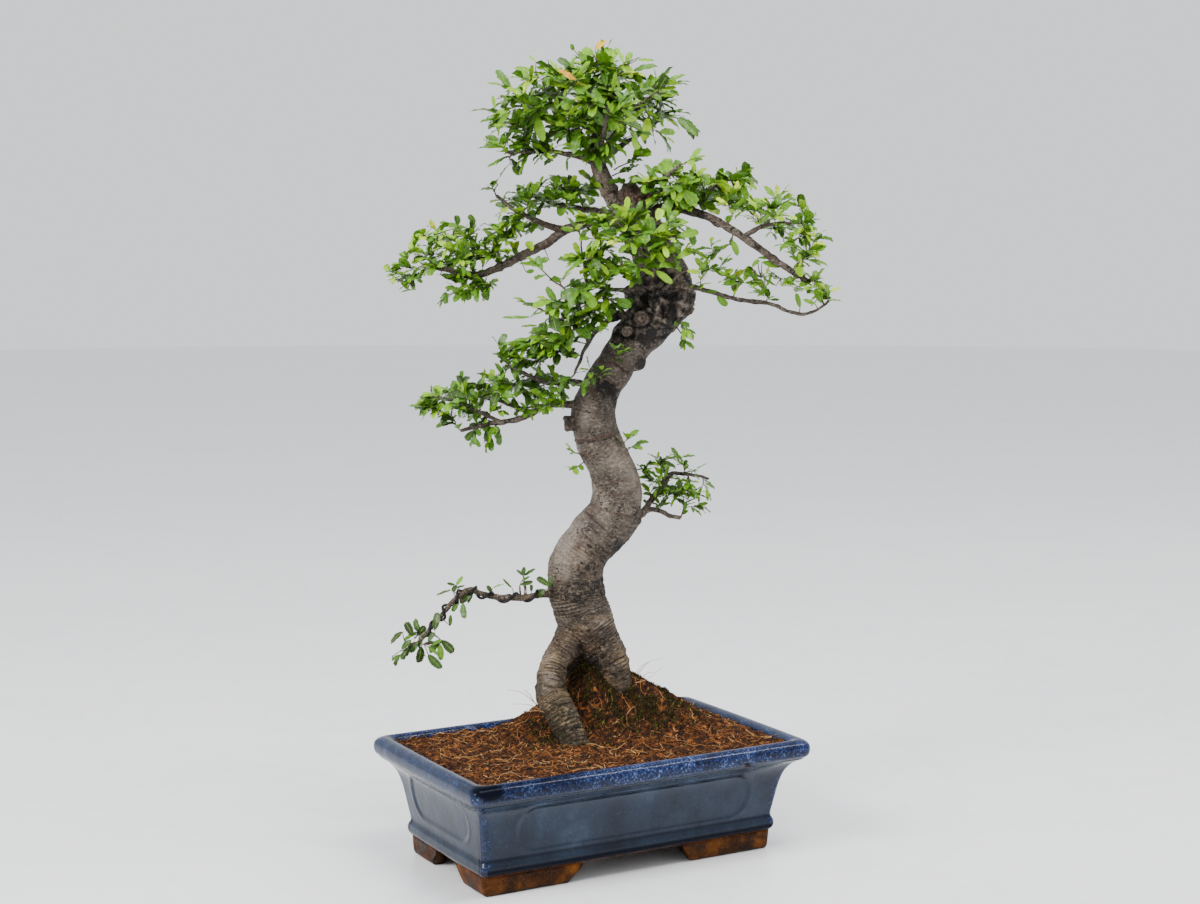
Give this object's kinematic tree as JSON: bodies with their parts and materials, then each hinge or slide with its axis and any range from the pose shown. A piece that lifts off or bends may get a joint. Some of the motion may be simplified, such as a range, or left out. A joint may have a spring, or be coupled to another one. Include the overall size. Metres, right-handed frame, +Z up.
{
  "type": "bonsai tree",
  "caption": "Chinese elm bonsai with a sinuous bare trunk, forked roots, leafy pads and a wired low branch, in a blue glazed oblong pot on corner feet.",
  "frame": {"origin": "centre of the pot's footprint, on the surface that it stands on", "axes": "+Z up; +X along the pot's long side; -Y towards the side with the forward root and the wired low branch on the left"},
  "size_m": [0.3526, 0.2703, 0.7498],
  "materials": {
    "glaze": "glossy slate blue",
    "coir": "loose coconut fibre",
    "bark": "grey-brown bark",
    "wire": "black anodised",
    "foliage": "soft satin leaf"
  },
  "bodies": {
    "root": {"pot": "glaze", "soil": "coir", "trunk": "bark", "training_wire": "wire", "spray_crown_left_1": "foliage", "spray_crown_left_2": "foliage", "spray_crown_left_3": "foliage", "spray_crown_up_left_1": "foliage", "spray_crown_up_left_2": "foliage", "spray_crown_up_left_3": "foliage", "spray_crown_up_1": "foliage", "spray_crown_up_2": "foliage", "spray_crown_up_3": "foliage", "spray_crown_up_right_1": "foliage", "spray_crown_right_1": "foliage", "spray_crown_right_2": "foliage", "spray_crown_back_1": "foliage", "spray_crown_front_1": "foliage", "spray_crown_front_2": "foliage", "spray_crown_front_3": "foliage", "spray_upper_left_1": "foliage", "spray_upper_left_2": "foliage", "spray_upper_left_3": "foliage", "spray_upper_left_4": "foliage", "spray_upper_left_5": "foliage", "spray_upper_left_fork_1": "foliage", "spray_upper_left_fork_2": "foliage", "spray_upper_left_back_1": "foliage", "spray_upper_left_back_2": "foliage", "spray_upper_right_top_1": "foliage", "spray_upper_right_top_2": "foliage", "spray_upper_right_back_1": "foliage", "spray_upper_right_1": "foliage", "spray_upper_right_tip_1": "foliage", "spray_upper_right_tip_2": "foliage", "spray_upper_right_2": "foliage", "spray_upper_right_3": "foliage", "spray_low_right_1": "foliage", "spray_low_right_2": "foliage", "spray_low_right_3": "foliage", "spray_low_right_4": "foliage", "spray_front_up_1": "foliage", "spray_front_up_2": "foliage", "spray_front_low_1": "foliage", "spray_front_low_2": "foliage", "spray_front_top_1": "foliage", "spray_front_top_2": "foliage", "spray_front_right_1": "foliage", "spray_mid_left_fork_1": "foliage", "spray_mid_left_1": "foliage", "spray_mid_left_2": "foliage", "spray_lower_left_top_1": "foliage", "spray_lower_left_top_2": "foliage", "spray_lower_left_1": "foliage", "spray_lower_left_2": "foliage", "spray_lower_left_tip_1": "foliage", "spray_lower_left_back_1": "foliage", "spray_low_right_back_1": "foliage", "spray_low_right_back_2": "foliage", "spray_wired_1": "foliage"}
  },
  "joints": []
}
